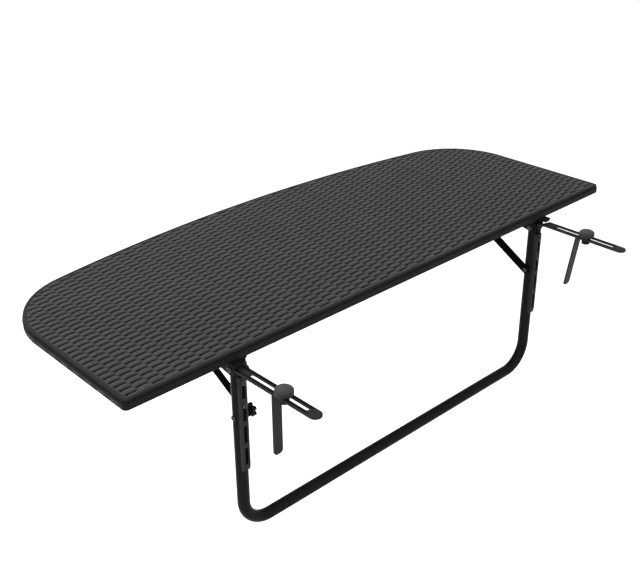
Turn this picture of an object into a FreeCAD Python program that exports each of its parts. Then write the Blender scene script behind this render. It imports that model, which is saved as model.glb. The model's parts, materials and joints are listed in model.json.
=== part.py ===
import FreeCAD, Part
import math
import os

# Millimetres. X runs along the railing, Y from the railing to the user, Z up.
# Y = 0 is the railing side of the height rails, Z = 0 the underside of the arms.
V = FreeCAD.Vector
X = V(1, 0, 0)
Y = V(0, 1, 0)
Z = V(0, 0, 1)

# Running clearance of bolts in their holes, and the gap left between pieces that only lie close.
FIT = 0.05
GAP = 0.3

# Where the tube's front lies, behind the railing face of the height rails.
TUBE_FRONT = 4.4

# Top: straight rail edge, slightly tapering ends, large front corners and a bowed front edge.
TOP_LENGTH = 1200.0
TOP_DEPTH = 457.0
TOP_THICK = 18.0
TOP_EDGE_Y = TUBE_FRONT
TOP_UNDER = 11.5
END_TAPER = 0.0108
REAR_CORNER = 9.0
FRONT_CORNER = 158.5
FRONT_BOW = 2647.0
RIM_ROUND = 4.0
SKIN = 2.5
RIM_WALL = 4.0
POST_R = 7.0

# Frame of round tube.
TUBE_R = 11.0
TUBE_WALL = 1.5
LEG_X = 388.4
LEG_Y = TUBE_FRONT + TUBE_R
BAR_Z = -328.9
BEND_R = 55.0

# Hinge axis at the leg tops, and the brace pivot straight under it.
HINGE_Z = -6.5
BRACE_Z = -99.5
BOLT_R = 3.0

# Hinge bracket: a plate under the top with a cheek on each side of the leg and a tongue past the rail edge.
SHEET = 2.0
TONGUE_X = (386.5, 410.5)
TONGUE_Y = (-8.6, 16.0)
TONGUE_LIP = 2.0
BRACKET_Y = (TUBE_FRONT, 64.0)
INNER_EAR_R = 7.5
OUTER_EAR_R = 11.5
BRACKET_SCREWS = ((382.9, 38.0), (393.9, 38.0), (382.9, 57.0), (393.9, 57.0))

# Height rail: a slotted channel on the tube, open at its top for the arm's tab.
RAIL_W = 15.0
RAIL_SHEET = 1.5
RAIL_TOP = -20.0
RAIL_BOTTOM = -201.5
RAIL_FOOT = 6.0
SLOT_W = 6.6
SLOT_L = 34.0
SLOT_PITCH = 42.8
SLOT_COUNT = 4
SLOT_TOP = -26.6
STEP = 2.0

# Arm: a shallow pressed channel with a bead on each side of its slot, and a tab that runs down
# inside the height rail.
ARM_X = 398.0
ARM_ROOT = -7.6
ARM_W = 22.0
ARM_TIP = -187.0
ARM_H = 3.2
ARM_WALL = 1.8
BEAD_W = 2.4
BEAD_H = 0.8
BEAD_OFF = 7.0
ARM_SLOT_W = 6.0
ARM_SLOT = (-162.0, -32.5)
TAB_Y = 1.9
TAB_W = 11.4
TAB_BOTTOM = -81.0
BOLT_HEAD_R = 4.7
BOLT_HEAD_H = 2.4

# Hook and its clamp. The right hook is bent a little less and is clamped nearer to the leg.
HOOK_W = 17.8
HOOK_T = 3.0
HOOK_FACE = -86.0
HOOK_SEAT = ARM_H - ARM_WALL
HOOK_BOTTOM = -113.0
HOOK_BEND = 3.0
HOOK_CORNER = 7.0
HOOK_PLACE = {"left": -3.5, "right": 5.0}
HOOK_LEAN = {"left": 0.0, "right": 8.0}
STUD_Y = -105.6
STUD_R = 2.5
STUD_ROOT_R = 4.0
STUD_ROOT = 5.0
WASHER_R = 8.0
WASHER_T = 1.0
KNOB_R = 15.0
KNOB_H = 14.0
CLAMP_NUT_R = 8.0
CLAMP_NUT_H = 8.2

# Brace, its end shoe and the guide under the top.
BRACE_T = 2.5
BRACE_GAP = 3.9
BRACE_IN = LEG_X - TUBE_R - BRACE_GAP - BRACE_T
BRACE_W = 18.0
SHOE_X = 154.0
SHOE_Z = -10.5
SHOE_R = 8.0
SHOE_T = 4.5
TONGUE_R = 5.5
GUIDE_GAP = 5.1
GUIDE_WALL = 1.5
GUIDE_Y = (154.4, 297.0)
GUIDE_WEB = 9.0
GUIDE_DEEP = 28.0
GUIDE_BASE_W = 30.0
GUIDE_SCREWS = ((361.0, 168.0), (383.5, 168.0), (361.0, 283.0), (383.5, 283.0))

# Small fasteners.
SCREW_R = 2.0
SCREW_HEAD_R = 4.2
SCREW_HEAD_H = 1.8
SCREW_LONG = 9.0
STAR_R = 12.0
STAR_T = 11.0
STAR_RIM = 8.0
STAR_LOBE_R = 4.0
STAR_LOBES = 5


def box(x0, x1, y0, y1, z0, z1):
    return Part.makeBox(x1 - x0, y1 - y0, z1 - z0, V(x0, y0, z0))


def rod(radius, start, length, axis):
    return Part.makeCylinder(radius, length, V(*start), axis)


def mirrored(shape):
    return shape.mirror(V(0, 0, 0), X)


def face_of(points):
    return Part.Face(Part.makePolygon([V(*p) for p in points + points[:1]]))


def stadium(cx, cy, cz, radius, length, height, along, up):
    """A slot-shaped prism: two half rounds of this radius joined over length, raised by height."""
    start = V(cx, cy, cz)
    side = up.cross(along)
    first = start + side * radius
    second = first + along * length
    third = start + along * length - side * radius
    fourth = start - side * radius
    edges = [
        Part.makeLine(first, second),
        Part.Arc(second, start + along * (length + radius), third).toShape(),
        Part.makeLine(third, fourth),
        Part.Arc(fourth, start - along * radius, first).toShape(),
    ]
    return Part.Face(Part.Wire(edges)).extrude(up * height)


def top_outline(inset, z):
    """The top's outline, moved inwards by inset."""
    length = math.hypot(1.0, END_TAPER)
    run = V(-END_TAPER / length, 1.0 / length, 0)
    inward = V(-1.0 / length, -END_TAPER / length, 0)
    base = V(TOP_LENGTH / 2, TOP_EDGE_Y, 0) + inward * FRONT_CORNER
    bow_centre = V(0, TOP_EDGE_Y + TOP_DEPTH - FRONT_BOW, 0)
    offset = base - bow_centre
    half = offset.dot(run)
    rest = offset.dot(offset) - (FRONT_BOW - FRONT_CORNER) ** 2
    centre = base + run * (math.sqrt(half * half - rest) - half)
    corner_r = FRONT_CORNER - inset
    side_end = centre - inward * corner_r
    ray = (centre - bow_centre).normalize()
    bow_end = bow_centre + ray * (FRONT_BOW - inset)
    mid_ray = (ray - inward).normalize()
    corner_mid = centre + mid_ray * corner_r
    rear_r = REAR_CORNER - min(inset, REAR_CORNER - 2.0)
    rear_y = TOP_EDGE_Y + inset
    rear_x = TOP_LENGTH / 2 - inset
    points = [
        V(rear_x - rear_r, rear_y, 0),
        V(rear_x - rear_r * (1 - math.sqrt(0.5)), rear_y + rear_r * (1 - math.sqrt(0.5)), 0),
        V(rear_x - END_TAPER * rear_r, rear_y + rear_r, 0),
        side_end,
        corner_mid,
        bow_end,
    ]
    lift = V(0, 0, z)
    right = [p + lift for p in points]
    left = [V(-p.x, p.y, p.z) for p in right]
    front = V(0, TOP_EDGE_Y + TOP_DEPTH - inset, z)
    edges = [
        Part.Arc(right[0], right[1], right[2]).toShape(),
        Part.makeLine(right[2], right[3]),
        Part.Arc(right[3], right[4], right[5]).toShape(),
        Part.Arc(right[5], front, left[5]).toShape(),
        Part.Arc(left[5], left[4], left[3]).toShape(),
        Part.makeLine(left[3], left[2]),
        Part.Arc(left[2], left[1], left[0]).toShape(),
        Part.makeLine(left[0], right[0]),
    ]
    return Part.Face(Part.Wire(edges))


def screw_places():
    places = []
    for x, y in BRACKET_SCREWS + GUIDE_SCREWS:
        places.append((x, y))
        places.append((-x, y))
    return places


def table_top():
    """Hollow moulding: two skins and a rim, tied by a post around each screw."""
    body = top_outline(0.0, TOP_UNDER).extrude(Z * TOP_THICK)
    upper = TOP_UNDER + TOP_THICK
    rim = [e for e in body.Edges if e.BoundBox.ZMin > upper - 0.01]
    body = body.makeFillet(RIM_ROUND, rim)
    void = top_outline(RIM_WALL, TOP_UNDER + SKIN).extrude(Z * (TOP_THICK - 2 * SKIN))
    posts = [rod(POST_R, (x, y, TOP_UNDER), TOP_THICK, Z) for x, y in screw_places()]
    body = body.cut(void.cut(Part.Compound(posts)))
    holes = [rod(SCREW_R + FIT, (x, y, TOP_UNDER - 1), SCREW_LONG + 1, Z) for x, y in screw_places()]
    return body.cut(Part.Compound(holes))


def tube_run(radius):
    """The U of the frame as one solid of this radius."""
    top = HINGE_Z + TUBE_R
    knee = BAR_Z + BEND_R
    span = LEG_X - BEND_R
    run = rod(radius, (-span, LEG_Y, BAR_Z), 2 * span, X)
    for side in (-1, 1):
        run = run.fuse(rod(radius, (side * LEG_X, LEG_Y, knee), top - knee, Z))
        centre = V(side * span, LEG_Y, knee)
        ring = Part.makeTorus(BEND_R, radius, centre, Y)
        far = side * (span + BEND_R + 2 * radius)
        quarter = box(min(side * span, far), max(side * span, far), LEG_Y - 50, LEG_Y + 50,
                      BAR_Z - 2 * radius, knee)
        run = run.fuse(ring.common(quarter))
    return run.removeSplitter()


def leg_top_round(side):
    """What is cut from a leg's top so that it ends in a half round about the hinge axis."""
    x0 = side * LEG_X - TUBE_R - 1
    block = box(x0, x0 + 2 * TUBE_R + 2, LEG_Y - 20, LEG_Y + 20, HINGE_Z, HINGE_Z + 20)
    return block.cut(rod(TUBE_R, (x0, LEG_Y, HINGE_Z), 2 * TUBE_R + 2, X))


def leg_frame():
    frame = tube_run(TUBE_R).cut(tube_run(TUBE_R - TUBE_WALL))
    for side in (-1, 1):
        frame = frame.cut(leg_top_round(side))
        x0 = side * LEG_X - TUBE_R - 1
        for z in (HINGE_Z, BRACE_Z):
            frame = frame.cut(rod(BOLT_R + FIT, (x0, LEG_Y, z), 2 * TUBE_R + 2, X))
    return frame


def leg_plug():
    plug = rod(TUBE_R - TUBE_WALL - FIT, (LEG_X, LEG_Y, HINGE_Z - 14), 14 + TUBE_R, Z)
    plug = plug.cut(leg_top_round(1))
    return plug.cut(rod(BOLT_R + FIT, (LEG_X - 20, LEG_Y, HINGE_Z), 40, X))


def height_rail():
    """Channel welded on the tube, its lower end stepped back."""
    low = LEG_X - RAIL_W / 2
    high = LEG_X + RAIL_W / 2
    step_z = RAIL_BOTTOM + RAIL_FOOT
    body = box(low, high, 0, LEG_Y - 7.5, step_z, RAIL_TOP)
    corners = [e for e in body.Edges if e.BoundBox.ZLength > 50 and e.BoundBox.YMax < 0.01]
    body = body.makeFillet(1.2, corners)
    hollow = box(low + RAIL_SHEET, high - RAIL_SHEET, RAIL_SHEET, LEG_Y, step_z + RAIL_SHEET, RAIL_TOP + 1)
    foot = box(low, high, STEP, LEG_Y - 7.5, RAIL_BOTTOM, step_z)
    rail = body.cut(hollow).fuse(foot)
    rail = rail.cut(rod(TUBE_R + FIT, (LEG_X, LEG_Y, RAIL_BOTTOM - 1), RAIL_TOP - RAIL_BOTTOM + 2, Z))
    run = SLOT_L - SLOT_W
    for index in range(SLOT_COUNT):
        lower = SLOT_TOP - SLOT_PITCH * index - SLOT_L + SLOT_W / 2
        rail = rail.cut(stadium(LEG_X, -1, lower, SLOT_W / 2, run, 4, Z, Y))
    return rail.removeSplitter()


def cheek(x, ear_r, heel_z):
    """One side of the bracket: an ear about the hinge axis that runs back along the top."""
    plate_z = TOP_UNDER - SHEET
    back = BRACKET_Y[1] - 5
    outline = [
        (x, LEG_Y - ear_r, plate_z + 1),
        (x, LEG_Y - ear_r, HINGE_Z),
        (x, LEG_Y, HINGE_Z - ear_r),
        (x, LEG_Y + 24, heel_z),
        (x, back, plate_z - 5),
        (x, back, plate_z + 1),
    ]
    return face_of(outline).extrude(X * SHEET).fuse(rod(ear_r, (x, LEG_Y, HINGE_Z), SHEET, X))


def hinge_bracket():
    """Clevis under the top: its cheeks take the hinge bolt on both sides of the leg."""
    inner = LEG_X - TUBE_R - GAP
    outer = LEG_X + TUBE_R + GAP
    plate_z = TOP_UNDER - SHEET
    front, back = BRACKET_Y
    plate = box(inner - SHEET, outer + SHEET, front, back, plate_z, TOP_UNDER)
    rear = [e for e in plate.Edges if e.BoundBox.ZLength > SHEET - 0.1 and e.BoundBox.YMin > front + 1]
    plate = plate.makeFillet(5.0, rear)
    tongue = box(TONGUE_X[0], TONGUE_X[1], TONGUE_Y[0], TONGUE_Y[1], plate_z, TOP_UNDER)
    corners = [e for e in tongue.Edges if e.BoundBox.ZLength > SHEET - 0.1]
    tongue = tongue.makeFillet(4.5, corners)
    lip = box(TONGUE_X[0] + 5, TONGUE_X[1] - 5, TONGUE_Y[0], TONGUE_Y[0] + SHEET, plate_z - TONGUE_LIP, plate_z)
    bracket = plate.fuse([tongue, lip])
    bracket = bracket.fuse([cheek(inner - SHEET, INNER_EAR_R, -9.5), cheek(outer, OUTER_EAR_R, -13.4)])
    bracket = bracket.cut(rod(BOLT_R + FIT, (inner - 10, LEG_Y, HINGE_Z), 50, X))
    for x, y in BRACKET_SCREWS:
        bracket = bracket.cut(rod(SCREW_R + FIT, (x, y, plate_z - 1), SHEET + 2, Z))
    return bracket.removeSplitter()


def screw(x, y, seat):
    """A pan-head screw driven up into the top; seat is the face its head lies on."""
    head = rod(SCREW_HEAD_R, (x, y, seat - SCREW_HEAD_H), SCREW_HEAD_H, Z)
    edge = [e for e in head.Edges if e.BoundBox.ZMax < seat - SCREW_HEAD_H + 0.01]
    head = head.makeFillet(0.9, edge)
    return head.fuse(rod(SCREW_R, (x, y, seat), TOP_UNDER - seat + SCREW_LONG - GAP, Z))


def screw_set(places, seat):
    screws = [screw(x, y, seat) for x, y in places]
    return Part.Compound(screws + [mirrored(s) for s in screws])


def bolt(head_x, shank_end, z, head_r, head_h):
    """A round-head bolt along X at the leg: head_x is the face under its head."""
    toward = 1 if shank_end > head_x else -1
    head = rod(head_r, (head_x, LEG_Y, z), head_h, X * -toward)
    far = head_x - toward * head_h
    crown = [e for e in head.Edges if abs(e.BoundBox.Center.x - far) < 0.01 and e.BoundBox.XLength < 0.01]
    head = head.makeFillet(head_h * 0.6, crown)
    head = head.cut(rod(head_r * 0.4, (far, LEG_Y, z), head_h * 0.4, X * toward))
    return head.fuse(rod(BOLT_R, (head_x, LEG_Y, z), abs(shank_end - head_x), X * toward))


def hex_nut(x, z, length, across):
    """A hexagon nut on an X-axis bolt at the leg, running outwards from x."""
    radius = across / math.sqrt(3)
    points = []
    for k in range(6):
        angle = math.radians(60 * k + 30)
        points.append((x, LEG_Y + radius * math.cos(angle), z + radius * math.sin(angle)))
    nut = face_of(points).extrude(X * length)
    return nut.cut(rod(BOLT_R + FIT, (x - 1, LEG_Y, z), length + 2, X))


def brace_angle():
    return math.atan2(SHOE_Z - BRACE_Z, SHOE_X)


def bar_along(radius, inner, thick, start, length):
    """A round-ended bar on the brace's line, start and length counted from its pivot."""
    angle = brace_angle()
    along = V(0, math.cos(angle), math.sin(angle))
    origin = V(inner, LEG_Y, BRACE_Z) + along * start
    return stadium(origin.x, origin.y, origin.z, radius, length, thick, along, X)


def brace():
    reach = math.hypot(SHOE_X, SHOE_Z - BRACE_Z)
    bar = bar_along(BRACE_W / 2, BRACE_IN, BRACE_T, 0, reach - 2 * SHOE_R - 14)
    bar = bar.fuse(bar_along(TONGUE_R, BRACE_IN, BRACE_T, reach - 40, 40))
    bar = bar.fuse(bar_along(2.5, BRACE_IN - 1.0, 1.5, 24, reach - 70))
    return bar.cut(rod(BOLT_R + FIT, (BRACE_IN - 5, LEG_Y, BRACE_Z), 12, X)).removeSplitter()


def brace_shoe():
    """A moulded shoe that covers the brace's upper end and runs in the guide."""
    reach = math.hypot(SHOE_X, SHOE_Z - BRACE_Z)
    inner = BRACE_IN + BRACE_T / 2 - SHOE_T / 2
    shoe = bar_along(SHOE_R, inner, SHOE_T, reach - 4, 4)
    angle = brace_angle()
    square = box(inner - 1, inner + SHOE_T + 1, -30, -SHOE_R - 2, -30, 30)
    square.rotate(V(0, 0, 0), X, math.degrees(angle))
    square.translate(V(0, LEG_Y + SHOE_X, SHOE_Z))
    shoe = shoe.cut(square)
    return shoe.cut(bar_along(TONGUE_R + FIT, BRACE_IN - FIT, BRACE_T + 2 * FIT, reach - 40, 40))


def brace_guide():
    """A moulded track under the top, open downwards, with a screw flange at each side."""
    mid = BRACE_IN + BRACE_T / 2
    web_z = TOP_UNDER - GUIDE_WEB
    half = GUIDE_GAP / 2 + GUIDE_WALL
    y0, y1 = GUIDE_Y
    base = box(mid - GUIDE_BASE_W / 2, mid + GUIDE_BASE_W / 2, y0, y1, TOP_UNDER - SHEET, TOP_UNDER)
    corners = [e for e in base.Edges if e.BoundBox.ZLength > SHEET - 0.1]
    base = base.makeFillet(4.0, corners)
    track = box(mid - half, mid + half, y0 + 6, y1 - 6, TOP_UNDER - GUIDE_DEEP, TOP_UNDER)
    ends = [e for e in track.Edges if e.BoundBox.XLength > half and e.BoundBox.ZMax < web_z]
    track = track.makeFillet(6.0, ends)
    groove = box(mid - GUIDE_GAP / 2, mid + GUIDE_GAP / 2, y0, y1, TOP_UNDER - GUIDE_DEEP - 1, web_z)
    guide = base.fuse(track.cut(groove))
    for x, y in GUIDE_SCREWS:
        guide = guide.cut(rod(SCREW_R + FIT, (x, y, TOP_UNDER - SHEET - 1), SHEET + 2, Z))
    return guide.removeSplitter()


def brace_spacer():
    outer = BRACE_IN + BRACE_T
    spacer = rod(8.0, (outer, LEG_Y, BRACE_Z), LEG_X - TUBE_R + 2 - outer, X)
    spacer = spacer.cut(rod(TUBE_R + FIT, (LEG_X, LEG_Y, BRACE_Z - 20), 40, Z))
    return spacer.cut(rod(BOLT_R + FIT, (outer - 1, LEG_Y, BRACE_Z), 12, X))


def left_brace_bolt():
    return mirrored(bolt(LEG_X + TUBE_R, BRACE_IN - STAR_T + 2, BRACE_Z, BOLT_HEAD_R, 2.8))


def right_brace_bolt():
    return bolt(BRACE_IN, LEG_X + TUBE_R + 4.0, BRACE_Z, BOLT_HEAD_R, 2.8)


def cap_nut():
    nut = hex_nut(LEG_X + TUBE_R, BRACE_Z, 5.0, 10.0)
    ball = Part.makeSphere(4.6, V(LEG_X + TUBE_R + 4.6, LEG_Y, BRACE_Z))
    ball = ball.common(box(LEG_X + TUBE_R + 4.9, LEG_X + TUBE_R + 12, 0, 30, BRACE_Z - 8, BRACE_Z + 8))
    return nut.fuse(ball)


def star_knob():
    """Lobed hand knob on the left brace bolt, its lobes carried off the brace by a hub."""
    inner = BRACE_IN - STAR_T
    hub = rod(7.0, (inner + 1.0, LEG_Y, BRACE_Z), STAR_T - 1.0, X)
    lobe_at = STAR_R - STAR_LOBE_R
    knob = hub.fuse(rod(lobe_at, (inner + 0.5, LEG_Y, BRACE_Z), STAR_RIM - 0.5, X))
    for k in range(STAR_LOBES):
        angle = 2 * math.pi * k / STAR_LOBES
        y = LEG_Y + lobe_at * math.cos(angle)
        z = BRACE_Z + lobe_at * math.sin(angle)
        knob = knob.fuse(rod(STAR_LOBE_R, (inner, y, z), STAR_RIM, X))
    knob = knob.cut(rod(BOLT_R + FIT, (inner + 2.0 - FIT, LEG_Y, BRACE_Z), STAR_T, X))
    return mirrored(knob.removeSplitter())


def arm():
    low = ARM_X - ARM_W / 2
    high = ARM_X + ARM_W / 2
    tip = ARM_TIP + ARM_W / 2
    run = ARM_ROOT - tip
    sheet_z = ARM_H - ARM_WALL
    plate = stadium(ARM_X, tip, 0, ARM_W / 2, run, ARM_H, Y, Z)
    plate = plate.cut(stadium(ARM_X, tip, -1, ARM_W / 2 - ARM_WALL, run + 20, sheet_z + 1, Y, Z))
    plate = plate.cut(box(low - 1, high + 1, ARM_ROOT, 30, -10, 20))
    bead_start = ARM_SLOT[0]
    bead_run = ARM_ROOT - 10 - bead_start
    for off in (-BEAD_OFF, BEAD_OFF):
        bead = stadium(ARM_X + off, bead_start, sheet_z, BEAD_W / 2, bead_run, ARM_WALL + BEAD_H, Y, Z)
        upper = [e for e in bead.Edges if e.BoundBox.ZMin > ARM_H + BEAD_H - 0.01]
        plate = plate.fuse(bead.makeChamfer(0.4, upper))
    slot_run = ARM_SLOT[1] - ARM_SLOT[0] - ARM_SLOT_W
    slot_start = ARM_SLOT[0] + ARM_SLOT_W / 2
    plate = plate.cut(stadium(ARM_X, slot_start, -1, ARM_SLOT_W / 2, slot_run, ARM_H + 4, Y, Z))
    tab_in = LEG_X - TAB_W / 2
    tab_out = LEG_X + TAB_W / 2
    tab_back = TAB_Y + SHEET
    neck = face_of([
        (tab_in, tab_back, sheet_z),
        (tab_in, ARM_ROOT, sheet_z),
        (low, ARM_ROOT - 9, sheet_z),
        (high, ARM_ROOT - 6, sheet_z),
        (high, ARM_ROOT, sheet_z),
        (tab_out, ARM_ROOT + 5, sheet_z),
        (tab_out, tab_back, sheet_z),
    ]).extrude(Z * ARM_WALL)
    tab = box(tab_in, tab_out, TAB_Y, tab_back, TAB_BOTTOM, ARM_H)
    whole = plate.fuse([neck, tab])
    for z in arm_bolt_heights():
        whole = whole.cut(rod(BOLT_R + FIT, (LEG_X, TAB_Y - 1, z), SHEET + 2, Y))
    return whole.removeSplitter()


def arm_bolt_heights():
    first = SLOT_TOP - SLOT_W / 2 - 0.1
    return (first, first - SLOT_PITCH)


def arm_bolts():
    bolts = []
    for z in arm_bolt_heights():
        head = rod(BOLT_HEAD_R, (LEG_X, -BOLT_HEAD_H, z), BOLT_HEAD_H, Y)
        front = [e for e in head.Edges if e.BoundBox.YMax < -BOLT_HEAD_H + 0.01]
        head = head.makeFillet(0.8, front)
        head = head.cut(rod(2.2, (LEG_X, -BOLT_HEAD_H, z), 1.6, Y))
        bolts.append(head.fuse(rod(BOLT_R, (LEG_X, 0, z), TAB_Y + SHEET, Y)))
    return Part.Compound(bolts)


def hook(side):
    """A flat bar bent down behind the railing; its upper leg lies in the arm's channel."""
    low = ARM_X - HOOK_W / 2
    upper_z = HOOK_SEAT - HOOK_T
    reach = HOOK_BEND + HOOK_T
    bend_y = HOOK_FACE - reach
    bend_z = HOOK_SEAT - reach
    upper = box(low, low + HOOK_W, STUD_Y, bend_y, upper_z, HOOK_SEAT)
    upper = upper.fuse(rod(HOOK_W / 2, (ARM_X, STUD_Y, upper_z), HOOK_T, Z))
    section = face_of([
        (low, bend_y, upper_z),
        (low + HOOK_W, bend_y, upper_z),
        (low + HOOK_W, bend_y, HOOK_SEAT),
        (low, bend_y, HOOK_SEAT),
    ])
    bend = section.revolve(V(0, bend_y, bend_z), X, HOOK_LEAN[side] - 90)
    drop = box(low, low + HOOK_W, HOOK_FACE - HOOK_T, HOOK_FACE, HOOK_BOTTOM, bend_z)
    toes = [e for e in drop.Edges if e.BoundBox.YLength > HOOK_T - 0.1 and e.BoundBox.ZMax < bend_z - 1]
    drop = drop.makeFillet(HOOK_CORNER, toes)
    drop.rotate(V(0, bend_y, bend_z), X, HOOK_LEAN[side])
    bar = upper.fuse([bend, drop])
    return bar.cut(rod(STUD_R + FIT, (ARM_X, STUD_Y, upper_z - 1), HOOK_T + 2, Z)).removeSplitter()


def clamp_washer(side):
    seat = ARM_H + BEAD_H
    washer = rod(WASHER_R, (ARM_X, STUD_Y, seat), WASHER_T, Z)
    return washer.cut(rod(STUD_R + FIT, (ARM_X, STUD_Y, seat - 1), WASHER_T + 2, Z))


def clamp_nut(side):
    """Moulded nut under the hook's upper leg."""
    low = HOOK_SEAT - HOOK_T - CLAMP_NUT_H
    nut = rod(CLAMP_NUT_R, (ARM_X, STUD_Y, low), CLAMP_NUT_H, Z)
    nut = nut.makeFillet(1.5, [e for e in nut.Edges if e.BoundBox.ZMax < low + 0.1])
    return nut.cut(rod(STUD_R + FIT, (ARM_X, STUD_Y, low - 1), CLAMP_NUT_H + 2, Z))


def clamp_knob(side):
    """Round knob with an upright flank and a soft elliptic dome."""
    flank = KNOB_H * 0.5
    swell = Part.Ellipse(V(0, flank, 0), KNOB_R, KNOB_H - flank)
    dome = Part.ArcOfEllipse(swell, 0, math.radians(80)).toShape()
    crown = dome.Vertexes[-1].Point
    profile = [
        Part.makeLine(V(0, 0, 0), V(KNOB_R - 1.6, 0, 0)),
        Part.Arc(V(KNOB_R - 1.6, 0, 0), V(KNOB_R - 0.47, 0.47, 0), V(KNOB_R, 1.6, 0)).toShape(),
        Part.makeLine(V(KNOB_R, 1.6, 0), V(KNOB_R, flank, 0)),
        dome,
        Part.makeLine(crown, V(0, crown.y, 0)),
        Part.makeLine(V(0, crown.y, 0), V(0, 0, 0)),
    ]
    knob = Part.Face(Part.Wire(profile)).revolve(V(0, 0, 0), V(0, 1, 0), 360)
    knob.rotate(V(0, 0, 0), X, 90)
    base = ARM_H + BEAD_H + WASHER_T
    knob.translate(V(ARM_X, STUD_Y, base))
    return knob.cut(rod(STUD_ROOT_R, (ARM_X, STUD_Y, base - 1), STUD_ROOT + 1, Z))


def clamp_stud(side):
    """Stud moulded into the knob, with a thicker root there."""
    base = ARM_H + BEAD_H + WASHER_T
    end = HOOK_SEAT - HOOK_T - CLAMP_NUT_H - 1.0
    stud = rod(STUD_R, (ARM_X, STUD_Y, end), base - end, Z)
    return stud.fuse(rod(STUD_ROOT_R, (ARM_X, STUD_Y, base), STUD_ROOT, Z)).removeSplitter()


def hinge_nut():
    inner = LEG_X - TUBE_R - GAP - SHEET
    nut = hex_nut(inner - 4.0, HINGE_Z, 4.0, 10.0)
    return nut


def hinge_bolt():
    inner = LEG_X - TUBE_R - GAP - SHEET
    return bolt(LEG_X + TUBE_R + GAP + SHEET, inner - 4.5, HINGE_Z, 5.2, 3.0)


def build():
    seat = TOP_UNDER - SHEET
    nodes = {
        "table_top": table_top(),
        "leg_frame": leg_frame(),
        "hinge_bracket_screws": screw_set(BRACKET_SCREWS, seat),
        "brace_guide_screws": screw_set(GUIDE_SCREWS, seat),
        "star_knob": star_knob(),
        "left_brace_bolt": left_brace_bolt(),
        "right_brace_bolt": right_brace_bolt(),
        "right_brace_nut": cap_nut(),
    }
    pairs = {
        "height_rail": height_rail,
        "leg_plug": leg_plug,
        "hinge_bracket": hinge_bracket,
        "hinge_bolt": hinge_bolt,
        "hinge_nut": hinge_nut,
        "brace": brace,
        "brace_shoe": brace_shoe,
        "brace_guide": brace_guide,
        "brace_spacer": brace_spacer,
        "arm": arm,
        "arm_bolts": arm_bolts,
    }
    for name, make in pairs.items():
        shape = make()
        nodes["right_" + name] = shape
        nodes["left_" + name] = mirrored(shape)
    clamps = {
        "hook": hook,
        "clamp_washer": clamp_washer,
        "clamp_nut": clamp_nut,
        "clamp_knob": clamp_knob,
        "clamp_stud": clamp_stud,
    }
    for name, make in clamps.items():
        for side in ("left", "right"):
            shape = make(side)
            shape.translate(V(0, HOOK_PLACE[side], 0))
            nodes[side + "_" + name] = mirrored(shape) if side == "left" else shape
    return nodes


os.makedirs("parts", exist_ok=True)
for node, shape in build().items():
    shape.exportStep("parts/" + node + ".step")
    box_of = shape.BoundBox
    print(node, len(shape.Solids), shape.isValid(), round(shape.Volume),
          [round(v, 1) for v in (box_of.XMin, box_of.XMax, box_of.YMin, box_of.YMax, box_of.ZMin, box_of.ZMax)])
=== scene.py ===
import json
import math
import bpy
import numpy as np
from mathutils import Matrix, Vector


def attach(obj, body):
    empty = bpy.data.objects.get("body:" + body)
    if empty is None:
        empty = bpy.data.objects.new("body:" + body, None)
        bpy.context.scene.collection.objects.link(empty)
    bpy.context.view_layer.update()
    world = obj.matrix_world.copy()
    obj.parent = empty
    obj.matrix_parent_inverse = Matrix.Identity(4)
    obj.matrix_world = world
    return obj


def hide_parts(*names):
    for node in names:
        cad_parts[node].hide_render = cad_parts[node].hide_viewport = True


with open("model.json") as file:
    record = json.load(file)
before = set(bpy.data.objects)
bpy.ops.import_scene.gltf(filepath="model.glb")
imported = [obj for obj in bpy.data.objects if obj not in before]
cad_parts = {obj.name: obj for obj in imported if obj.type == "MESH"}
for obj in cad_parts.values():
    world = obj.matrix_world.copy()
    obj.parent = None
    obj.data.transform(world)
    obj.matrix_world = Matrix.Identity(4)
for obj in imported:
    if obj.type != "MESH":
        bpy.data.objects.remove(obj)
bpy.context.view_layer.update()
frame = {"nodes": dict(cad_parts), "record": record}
nodes = frame["nodes"]

MM = 0.001

# The top's outline, in millimetres, as the CAD part draws it.
TOP_LENGTH = 1200.0
TOP_DEPTH = 457.0
TOP_EDGE_Y = 4.4
TOP_UNDER = 11.5
END_TAPER = 0.0108
REAR_CORNER = 9.0
FRONT_CORNER = 158.5
FRONT_BOW = 2647.0
SIDE_LIMIT = TOP_LENGTH / 2 - 0.1
LEAST_CORNER = 1.0

# How many points each stretch of half the outline has.
RAIL_POINTS = 240
REAR_POINTS = 10
END_POINTS = 110
CORNER_POINTS = 90
BOW_POINTS = 180

# The weave: strands along X that pass over and under at every stake line.
STAKE_PITCH = 24.05
STRAND_PITCH = 7.25
FIRST_GAP_Y = 15.8
STRAND_HALF = 5.2
WAVE = 1.5
CROWN = 1.2
SINK = 1.9
PIT_BELOW = 0.3
WEAVE_TOP = 17.6
PER_STAKE = 12
PER_STRAND = 9

# Where the weave runs out towards the rim, and how far it reaches under the rim's inner edge.
SHOULDER = 17.25
RIM_IN = 8.6
RIM_LAP = 1.5
BLEND = 4.0

# The rim's section: how far in from the outline and how high above the underside.
RIM_SECTION = (
    (30.0, 0.0), (2.0, 0.0), (1.0, 0.2), (0.55, 0.8), (0.5, 1.8), (0.5, 3.4), (0.5, 4.2),
    (0.5, 6.0), (0.5, 7.8), (0.5, 8.6), (0.5, 10.8), (0.8, 11.6), (1.8, 12.1), (3.2, 12.5),
    (3.7, 13.2), (3.6, 13.9), (2.8, 14.5), (1.9, 15.0), (1.7, 15.6), (2.0, 16.4), (2.8, 17.2),
    (4.1, 17.8), (5.6, 18.0), (6.8, 17.9), (8.2, 17.5), (9.4, 17.0), (10.2, 16.4),
)

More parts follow.
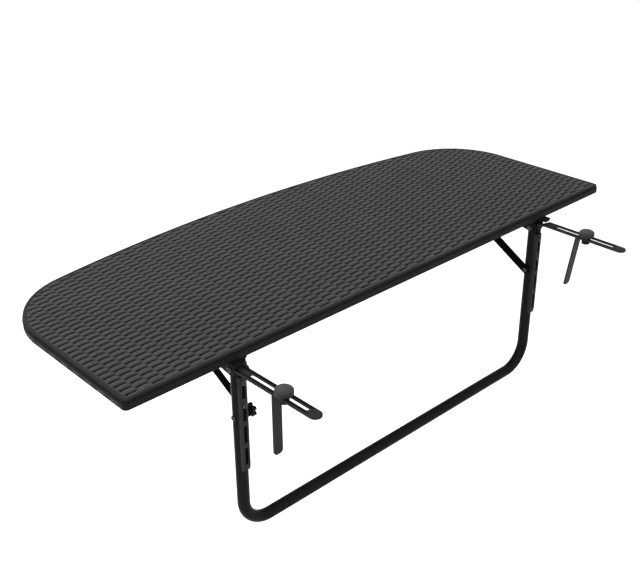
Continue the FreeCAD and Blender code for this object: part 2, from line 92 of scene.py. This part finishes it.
# Dashes that stand out of the rim's lower band, except along the railing edge, made paler by a painted
# highlight.
DASH_PITCH = 35.0
DASH_HALF_GAP = 8.0
DASH_RISE = 1.5
DASH_BAND = (4.0, 8.0)
DASH_INSET = 0.02
DASH_PAINTED_HIGHLIGHT = 0.08
RAIL_BAND = 3.0

# Painted shade: how grey the weave's pits, the rim with its groove and the knobs' flanks are made at each
# height in millimetres, darker lower down.
WEAVE_PIT_PAINTED_SHADE = ((25.1, 0.03), (26.8, 0.25), (28.1, 1.0))
RIM_PAINTED_SHADE = ((11.5, 0.33), (22.7, 0.34), (23.7, 0.32), (26.1, 0.32), (27.1, 0.38), (28.5, 0.46), (29.5, 0.62))
KNOB_PAINTED_SHADE = ((5.0, 0.4), (9.5, 0.5), (13.5, 0.7), (18.0, 1.0))

# The arms: their middle along X; painted shade in the crease beside the bead and on the hidden tab, and
# painted highlight across the rest of the arm, brightest at its outer edge.
ARM_X = 398.0
CREASE_PAINTED_LIGHT = ((5.2, 1.25), (6.0, 0.1), (7.8, 0.1), (8.6, 1.25), (9.8, 1.25), (10.8, 1.7))
CREASE_PAINTED_LIGHT_END = ((-170.0, 1.25), (-163.0, 0.0))
TAB_SHADE = ((-14.0, 0.08), (-8.0, 0.3), (-2.0, 1.0))

# Every surface's mottling and the depth of its fine bump, in metres.
MOTTLE_SCALE = 14.0
MOTTLE_DETAIL = 4.0
MOTTLE_EDGES = (0.3, 0.7)
BUMP_DETAIL = 3.0
BUMP_DEEP = 0.0004

# The studio, in metres and watts.
FLOOR_SIZE = 40.0
FLOOR_Z = -1.3
FLOOR_SEEN = 2.4
FLOOR_BOUNCE = 0.3
WORLD_FILL = 0.42
LAMPS = {
    "key": ((-0.6, 1.8, 2.3), (0, 0.2, 0), (2.2, 1.6), 34),
    "side": ((-2.4, -0.9, 0.6), (-0.3, 0, -0.1), (1.2, 1.2), 14),
    "front": ((0.8, -2.5, 0.3), (0, 0, -0.1), (2.0, 1.0), 12),
}

# The photo's camera: its place, its axes in the frame and its focal length in pixels.
CAMERA_PLACE = Vector((-1.2051155, -1.0539338, 0.8236749))
CAMERA_RIGHT = Vector((0.72870377, -0.6847869, -0.0075967))
CAMERA_DOWN = Vector((-0.32228807, -0.33312724, -0.88609065))
CAMERA_VIEW = Vector((0.6042526, 0.64814592, -0.46344973))
FOCAL_PX = 1003.831
PHOTO_WIDTH_PX = 640.0
SENSOR_MM = 36.0
CLIP_END = 50.0


def v2(x, y):
    return np.array([x, y], float)


def outline_frame():
    """Directions along and into the right end, and the centres of the user-side corner and the bow."""
    length = math.hypot(1.0, END_TAPER)
    run = v2(-END_TAPER / length, 1.0 / length)
    inward = v2(-1.0 / length, -END_TAPER / length)
    base = v2(TOP_LENGTH / 2, TOP_EDGE_Y) + inward * FRONT_CORNER
    bow = v2(0, TOP_EDGE_Y + TOP_DEPTH - FRONT_BOW)
    offset = base - bow
    half = offset @ run
    rest = offset @ offset - (FRONT_BOW - FRONT_CORNER) ** 2
    centre = base + run * (math.sqrt(half * half - rest) - half)
    return run, inward, centre, bow


RUN, INWARD, CORNER_C, BOW_C = outline_frame()


def spread(a, b, count):
    """Points from a up to, but not with, b."""
    return [a + (b - a) * t for t in np.linspace(0, 1, count, endpoint=False)]


def half_outline(inset):
    """The right half of the outline moved inwards; every inset gives the same number of points."""
    rear_r = max(REAR_CORNER - inset, LEAST_CORNER)
    rear_y = TOP_EDGE_Y + inset
    rear_x = TOP_LENGTH / 2 - inset
    rear_c = v2(rear_x - rear_r, rear_y + rear_r)
    corner_r = FRONT_CORNER - inset
    side_end = CORNER_C - INWARD * corner_r
    ray = (CORNER_C - BOW_C) / np.linalg.norm(CORNER_C - BOW_C)
    start = math.atan2(-INWARD[1], -INWARD[0])
    end = math.atan2(ray[1], ray[0])
    bow_r = FRONT_BOW - inset
    points = spread(v2(0, rear_y), v2(rear_x - rear_r, rear_y), RAIL_POINTS)
    for t in np.linspace(-math.pi / 2, 0, REAR_POINTS, endpoint=False):
        points.append(rear_c + rear_r * v2(math.cos(t), math.sin(t)))
    points += spread(rear_c + v2(rear_r, 0), side_end, END_POINTS)
    for t in np.linspace(start, end, CORNER_POINTS, endpoint=False):
        points.append(CORNER_C + corner_r * v2(math.cos(t), math.sin(t)))
    for t in np.linspace(end, math.pi / 2, BOW_POINTS):
        points.append(BOW_C + bow_r * v2(math.cos(t), math.sin(t)))
    points = np.array(points)
    points[:, 0] = np.minimum(points[:, 0], SIDE_LIMIT - inset)
    return points


def full_outline(inset):
    right = half_outline(inset)
    left = right[-2:0:-1] * v2(-1, 1)
    return np.vstack([right, left])


def edge_distance(x, y):
    """How far inside the outline each point lies, in millimetres."""
    x = np.abs(x)
    rail = y - TOP_EDGE_Y
    side = (x - TOP_LENGTH / 2) * INWARD[0] + (y - TOP_EDGE_Y) * INWARD[1]
    bow = FRONT_BOW - np.hypot(x - BOW_C[0], y - BOW_C[1])
    inside = np.minimum(np.minimum(rail, side), bow)
    dx = x - CORNER_C[0]
    dy = y - CORNER_C[1]
    ray = CORNER_C - BOW_C
    past_side = dx * RUN[0] + dy * RUN[1] > 0
    past_bow = dx * ray[1] - dy * ray[0] > 0
    corner = FRONT_CORNER - np.hypot(dx, dy)
    inside = np.where(past_side & past_bow, corner, inside)
    rear_x = x - (TOP_LENGTH / 2 - REAR_CORNER)
    rear_y = y - (TOP_EDGE_Y + REAR_CORNER)
    in_rear_corner = np.minimum(rear_x, -rear_y) > 0
    return np.where(in_rear_corner, REAR_CORNER - np.hypot(rear_x, rear_y), inside)


def mesh_object(name, verts, faces):
    data = bpy.data.meshes.new(name)
    data.from_pydata([tuple(v) for v in verts], [], faces)
    data.validate()
    data.update()
    data.shade_smooth()
    obj = bpy.data.objects.new(name, data)
    bpy.context.scene.collection.objects.link(obj)
    return obj


def grid_faces(keep):
    """Quads of a grid whose four corners are all kept, numbered among the kept points."""
    number = -np.ones(keep.shape, int)
    number[keep] = np.arange(keep.sum())
    a, b = number[:-1, :-1], number[1:, :-1]
    c, d = number[1:, 1:], number[:-1, 1:]
    ok = (a >= 0) & (b >= 0) & (c >= 0) & (d >= 0)
    return np.stack([a[ok], b[ok], c[ok], d[ok]], axis=1)


def weave_height(x, y):
    """Height of the woven face above the middle of its strands."""
    row = (y - TOP_EDGE_Y - FIRST_GAP_Y) / STRAND_PITCH
    near = np.round(row)
    best = np.full(x.shape, -WAVE * SINK - PIT_BELOW)
    for step in (-1, 0, 1):
        strand = near + step
        lift = -WAVE * np.cos(math.pi * (x / STAKE_PITCH + strand))
        lift = np.where(lift < 0, lift * SINK, lift)
        off = (row - strand) * STRAND_PITCH / STRAND_HALF
        crown = CROWN * (np.sqrt(np.clip(1 - off * off, 0, 1)) - 1)
        best = np.where(np.abs(off) < 1, np.maximum(best, lift + crown), best)
    return best


def build_weave():
    """The woven face, which levels out to the rim's shoulder all round."""
    dx = STAKE_PITCH / PER_STAKE
    dy = STRAND_PITCH / PER_STRAND
    half = int(TOP_LENGTH / 2 / dx) + 1
    xs = np.arange(-half, half + 1) * dx
    ys = TOP_EDGE_Y + np.arange(0, int(TOP_DEPTH / dy) + 2) * dy
    x, y = np.meshgrid(xs, ys, indexing="ij")
    inside = edge_distance(x, y)
    keep = inside > RIM_IN - RIM_LAP
    fade = np.clip((inside - RIM_IN) / BLEND, 0, 1)
    fade = fade * fade * (3 - 2 * fade)
    woven = WEAVE_TOP - WAVE + weave_height(x, y)
    z = TOP_UNDER + SHOULDER + (woven - SHOULDER) * fade
    verts = np.stack([x[keep], y[keep], z[keep]], axis=1) * MM
    return mesh_object("top_weave", verts, grid_faces(keep).tolist())


def dash_marks(base):
    """1 where the rim carries a dash and 0 in the gaps, for each point of the outline."""
    steps = np.linalg.norm(np.roll(base, -1, axis=0) - base, axis=1)
    run = np.concatenate([[0], np.cumsum(steps)[:-1]])
    phase = (run / DASH_PITCH) % 1.0
    marks = np.clip((0.5 - np.abs(phase - 0.5)) * DASH_PITCH - DASH_HALF_GAP, 0, DASH_RISE) / DASH_RISE
    marks[base[:, 1] < TOP_EDGE_Y + RAIL_BAND] = 0.0
    return marks


def build_rim():
    """Rim roll, groove and lower band swept round the outline, and the flat underside."""
    base = full_outline(0.0)
    count = len(base)
    marks = dash_marks(base)
    raised_ring = full_outline(DASH_INSET)
    verts = []
    dash_highlight = []
    for inset, z in RIM_SECTION:
        ring = full_outline(inset)
        raised = DASH_BAND[0] < z < DASH_BAND[1]
        if raised:
            ring += (raised_ring - ring) * marks[:, None]
        dash_highlight.append(marks * raised)
        verts.append(np.column_stack([ring, np.full(count, TOP_UNDER + z)]))
    faces = []
    for k in range(len(RIM_SECTION) - 1):
        for i in range(count):
            j = (i + 1) % count
            faces.append((k * count + i, k * count + j, (k + 1) * count + j, (k + 1) * count + i))
    faces.append(tuple(reversed(range(count))))
    obj = mesh_object("top_rim", np.vstack(verts) * MM, faces)
    # Marks the raised dashes, which get a painted highlight.
    attribute = obj.data.attributes.new("dash", "FLOAT", "POINT")
    attribute.data.foreach_set("value", np.concatenate(dash_highlight).astype(np.float32))
    return obj


def combine(tree, operation, first, second):
    node = tree.nodes.new("ShaderNodeVectorMath")
    node.operation = operation
    tree.links.new(first, node.inputs[0])
    tree.links.new(second, node.inputs[1])
    return node.outputs["Vector"]


def grey_ramp(tree, value, stops):
    """A grey that follows a length through stops given as (millimetres, grey)."""
    low = stops[0][0]
    high = stops[-1][0]
    level = tree.nodes.new("ShaderNodeMapRange")
    level.inputs["From Min"].default_value = low * MM
    level.inputs["From Max"].default_value = high * MM
    tree.links.new(value, level.inputs["Value"])
    ramp = tree.nodes.new("ShaderNodeValToRGB")
    while len(ramp.color_ramp.elements) < len(stops):
        ramp.color_ramp.elements.new(0.5)
    for stop, (place, grey) in zip(ramp.color_ramp.elements, stops):
        stop.position = (place - low) / (high - low)
        stop.color = (grey, grey, grey, 1)
    tree.links.new(level.outputs["Result"], ramp.inputs["Fac"])
    return ramp.outputs["Color"]


def paint_height_shade(tree, coords, colour, stops):
    """Painted shade: multiply a colour by a grey that follows the height; marked dashes get a paler
    painted highlight.
    """
    split = tree.nodes.new("ShaderNodeSeparateXYZ")
    tree.links.new(coords.outputs["Object"], split.inputs["Vector"])
    dim = combine(tree, "MULTIPLY", colour, grey_ramp(tree, split.outputs["Z"], stops))
    mark = tree.nodes.new("ShaderNodeAttribute")
    mark.attribute_name = "dash"
    dash_highlight = tree.nodes.new("ShaderNodeVectorMath")
    dash_highlight.operation = "MULTIPLY_ADD"
    dash_highlight.inputs[1].default_value = (DASH_PAINTED_HIGHLIGHT, DASH_PAINTED_HIGHLIGHT, DASH_PAINTED_HIGHLIGHT)
    tree.links.new(mark.outputs["Fac"], dash_highlight.inputs[0])
    tree.links.new(dim, dash_highlight.inputs[2])
    return dash_highlight.outputs["Vector"]


def paint_arm_light(tree, coords, colour):
    """Painted shade in a line along each bead as far as the slot goes and on the tab inside the height
    rail, and painted highlight across the rest of the arm.
    """
    split = tree.nodes.new("ShaderNodeSeparateXYZ")
    tree.links.new(coords.outputs["Object"], split.inputs["Vector"])
    side = tree.nodes.new("ShaderNodeMath")
    side.operation = "ABSOLUTE"
    tree.links.new(split.outputs["X"], side.inputs[0])
    off = tree.nodes.new("ShaderNodeMath")
    off.operation = "SUBTRACT"
    tree.links.new(side.outputs["Value"], off.inputs[0])
    off.inputs[1].default_value = ARM_X * MM
    across = tree.nodes.new("ShaderNodeMath")
    across.operation = "ABSOLUTE"
    tree.links.new(off.outputs["Value"], across.inputs[0])
    lines = grey_ramp(tree, across.outputs["Value"], CREASE_PAINTED_LIGHT)
    beyond = grey_ramp(tree, split.outputs["Y"], CREASE_PAINTED_LIGHT_END)
    lines = combine(tree, "MAXIMUM", lines, beyond)
    tab = grey_ramp(tree, split.outputs["Z"], TAB_SHADE)
    return combine(tree, "MULTIPLY", combine(tree, "MULTIPLY", colour, lines), tab)


def noise_texture(tree, coords, scale, detail):
    noise = tree.nodes.new("ShaderNodeTexNoise")
    noise.inputs["Scale"].default_value = scale
    noise.inputs["Detail"].default_value = detail
    tree.links.new(coords.outputs["Object"], noise.inputs["Vector"])
    return noise.outputs["Fac"]


def principled(name, color, rough, spec, bump, bump_scale, vary, shade=None, arm=False):
    """Procedural surface: a mottled base colour and a fine bump, with painted shade by height or painted
    shade and highlight for an arm.
    """
    mat = bpy.data.materials.new(name)
    mat.use_nodes = True
    tree = mat.node_tree
    shader = tree.nodes["Principled BSDF"]
    shader.inputs["Roughness"].default_value = rough
    shader.inputs["Specular IOR Level"].default_value = spec
    coords = tree.nodes.new("ShaderNodeTexCoord")
    ramp = tree.nodes.new("ShaderNodeValToRGB")
    for stop, place, factor in zip(ramp.color_ramp.elements, MOTTLE_EDGES, (1 - vary, 1 + vary)):
        stop.position = place
        stop.color = tuple(c * factor for c in color) + (1,)
    tree.links.new(noise_texture(tree, coords, MOTTLE_SCALE, MOTTLE_DETAIL), ramp.inputs["Fac"])
    colour = ramp.outputs["Color"]
    if shade:
        colour = paint_height_shade(tree, coords, colour, shade)
    if arm:
        colour = paint_arm_light(tree, coords, colour)
    tree.links.new(colour, shader.inputs["Base Color"])
    bumper = tree.nodes.new("ShaderNodeBump")
    bumper.inputs["Strength"].default_value = bump
    bumper.inputs["Distance"].default_value = BUMP_DEEP
    tree.links.new(noise_texture(tree, coords, bump_scale, BUMP_DETAIL), bumper.inputs["Height"])
    tree.links.new(bumper.outputs["Normal"], shader.inputs["Normal"])
    return mat


def seen_directly(tree):
    """1 for rays straight from the camera, by mirror or through glass, 0 for light that bounces."""
    path = tree.nodes.new("ShaderNodeLightPath")
    first = tree.nodes.new("ShaderNodeMath")
    first.operation = "MAXIMUM"
    second = tree.nodes.new("ShaderNodeMath")
    second.operation = "MAXIMUM"
    tree.links.new(path.outputs["Is Camera Ray"], first.inputs[0])
    tree.links.new(path.outputs["Is Glossy Ray"], first.inputs[1])
    tree.links.new(first.outputs["Value"], second.inputs[0])
    tree.links.new(path.outputs["Is Transmission Ray"], second.inputs[1])
    return second.outputs["Value"]


def mix_shaders(tree, factor, first, second):
    mix = tree.nodes.new("ShaderNodeMixShader")
    tree.links.new(factor, mix.inputs["Fac"])
    tree.links.new(first, mix.inputs[1])
    tree.links.new(second, mix.inputs[2])
    return mix.outputs["Shader"]


def diffuse(tree, grey):
    node = tree.nodes.new("ShaderNodeBsdfDiffuse")
    node.inputs["Color"].default_value = (grey, grey, grey, 1)
    return node.outputs["BSDF"]


def stage_floor():
    """Floor well below the table: white to the eye, grey for bounced light, and clear from below."""
    bpy.ops.mesh.primitive_plane_add(size=FLOOR_SIZE, location=(0, 0, FLOOR_Z))
    plane = bpy.context.object
    plane.name = "stage_floor"
    mat = bpy.data.materials.new("stage_white")
    mat.use_nodes = True
    tree = mat.node_tree
    tree.nodes.clear()
    out = tree.nodes.new("ShaderNodeOutputMaterial")
    above = mix_shaders(tree, seen_directly(tree), diffuse(tree, FLOOR_BOUNCE), diffuse(tree, FLOOR_SEEN))
    side = tree.nodes.new("ShaderNodeNewGeometry")
    clear = tree.nodes.new("ShaderNodeBsdfTransparent")
    surface = mix_shaders(tree, side.outputs["Backfacing"], above, clear.outputs["BSDF"])
    tree.links.new(surface, out.inputs["Surface"])
    plane.data.materials.append(mat)


def area_light(name, place, target, size, power):
    data = bpy.data.lights.new(name, "AREA")
    data.shape = "RECTANGLE"
    data.size = size[0]
    data.size_y = size[1]
    data.energy = power
    obj = bpy.data.objects.new(name, data)
    bpy.context.scene.collection.objects.link(obj)
    obj.location = place
    aim = (Vector(target) - Vector(place)).normalized()
    obj.rotation_euler = aim.to_track_quat("-Z", "Y").to_euler()


def background(tree, strength):
    node = tree.nodes.new("ShaderNodeBackground")
    node.inputs["Color"].default_value = (1, 1, 1, 1)
    node.inputs["Strength"].default_value = strength
    return node.outputs["Background"]


def world_light(strength):
    """White where it is seen, a softer grey as light."""
    world = bpy.data.worlds.new("studio")
    bpy.context.scene.world = world
    world.use_nodes = True
    tree = world.node_tree
    tree.nodes.clear()
    out = tree.nodes.new("ShaderNodeOutputWorld")
    surface = mix_shaders(tree, seen_directly(tree), background(tree, strength), background(tree, 1.0))
    tree.links.new(surface, out.inputs["Surface"])


def add_camera():
    data = bpy.data.cameras.new("photo_view")
    camera = bpy.data.objects.new("photo_view", data)
    bpy.context.scene.collection.objects.link(camera)
    camera.matrix_world = Matrix((
        (CAMERA_RIGHT.x, -CAMERA_DOWN.x, -CAMERA_VIEW.x, CAMERA_PLACE.x),
        (CAMERA_RIGHT.y, -CAMERA_DOWN.y, -CAMERA_VIEW.y, CAMERA_PLACE.y),
        (CAMERA_RIGHT.z, -CAMERA_DOWN.z, -CAMERA_VIEW.z, CAMERA_PLACE.z),
        (0, 0, 0, 1),
    ))
    data.sensor_fit = "HORIZONTAL"
    data.sensor_width = SENSOR_MM
    data.lens = FOCAL_PX / PHOTO_WIDTH_PX * SENSOR_MM
    data.clip_end = CLIP_END
    data.dof.use_dof = False
    bpy.context.scene.camera = camera


# Each look: name, colour, roughness, specular level, bump and its scale, mottling and any painted shade
# or highlight.
MATERIALS = {
    "woven_top": principled("woven_plastic", (0.078, 0.0758, 0.0713), 0.5, 0.09, 0.12, 900, 0.06, WEAVE_PIT_PAINTED_SHADE),
    "rim": principled("rim_plastic", (0.062, 0.0605, 0.0575), 0.5, 0.04, 0.12, 900, 0.06, RIM_PAINTED_SHADE),
    "black_steel": principled("black_powder_coat", (0.044, 0.0434, 0.042), 0.42, 0.05, 0.15, 1600, 0.05),
    "arm_steel": principled(
        "black_arm_coat", (0.034, 0.0335, 0.0325), 0.4, 0.015, 0.15, 1600, 0.05, arm=True),
    "gloss_steel": principled("black_gloss_coat", (0.018, 0.018, 0.0177), 0.25, 0.025, 0.08, 1600, 0.05),
    "deep_steel": principled("black_shaded_coat", (0.009, 0.009, 0.009), 0.6, 0.0, 0.08, 1600, 0.05),
    "dark_fastener": principled("blackened_steel", (0.04, 0.04, 0.04), 0.36, 0.35, 0.05, 400, 0.05),
    "black_plastic": principled("black_plastic", (0.009, 0.009, 0.009), 0.5, 0.08, 0.08, 400, 0.04),
    "grey_plastic": principled("grey_plastic", (0.092, 0.0895, 0.086), 0.5, 0.1, 0.2, 900, 0.08, KNOB_PAINTED_SHADE),
}
# The arms, frame tube, hinge brackets and braces take darker copies of the one black powder coat: painted
# shade, and on the arms also painted highlight.
PAINTED_LIGHT_COATS = {
    "arm": "arm_steel",
    "leg_frame": "gloss_steel",
    "hinge_bracket": "gloss_steel",
    "brace": "deep_steel",
    "brace_guide": "deep_steel",
}

slots = {part["node"]: part["material_slot"] for part in frame["record"]["subparts"]}
for name, obj in nodes.items():
    piece = name.replace("left_", "").replace("right_", "")
    obj.data.materials.clear()
    obj.data.materials.append(MATERIALS[PAINTED_LIGHT_COATS.get(piece, slots[name])])

weave = build_weave()
rim = build_rim()
for obj, look in ((weave, "woven_top"), (rim, "rim")):
    obj.data.materials.append(MATERIALS[look])
    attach(obj, "top")
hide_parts("table_top")

world_light(WORLD_FILL)
stage_floor()
for name, (place, target, size, power) in LAMPS.items():
    area_light(name, place, target, size, power)
add_camera()
bpy.context.scene.view_settings.view_transform = "Standard"
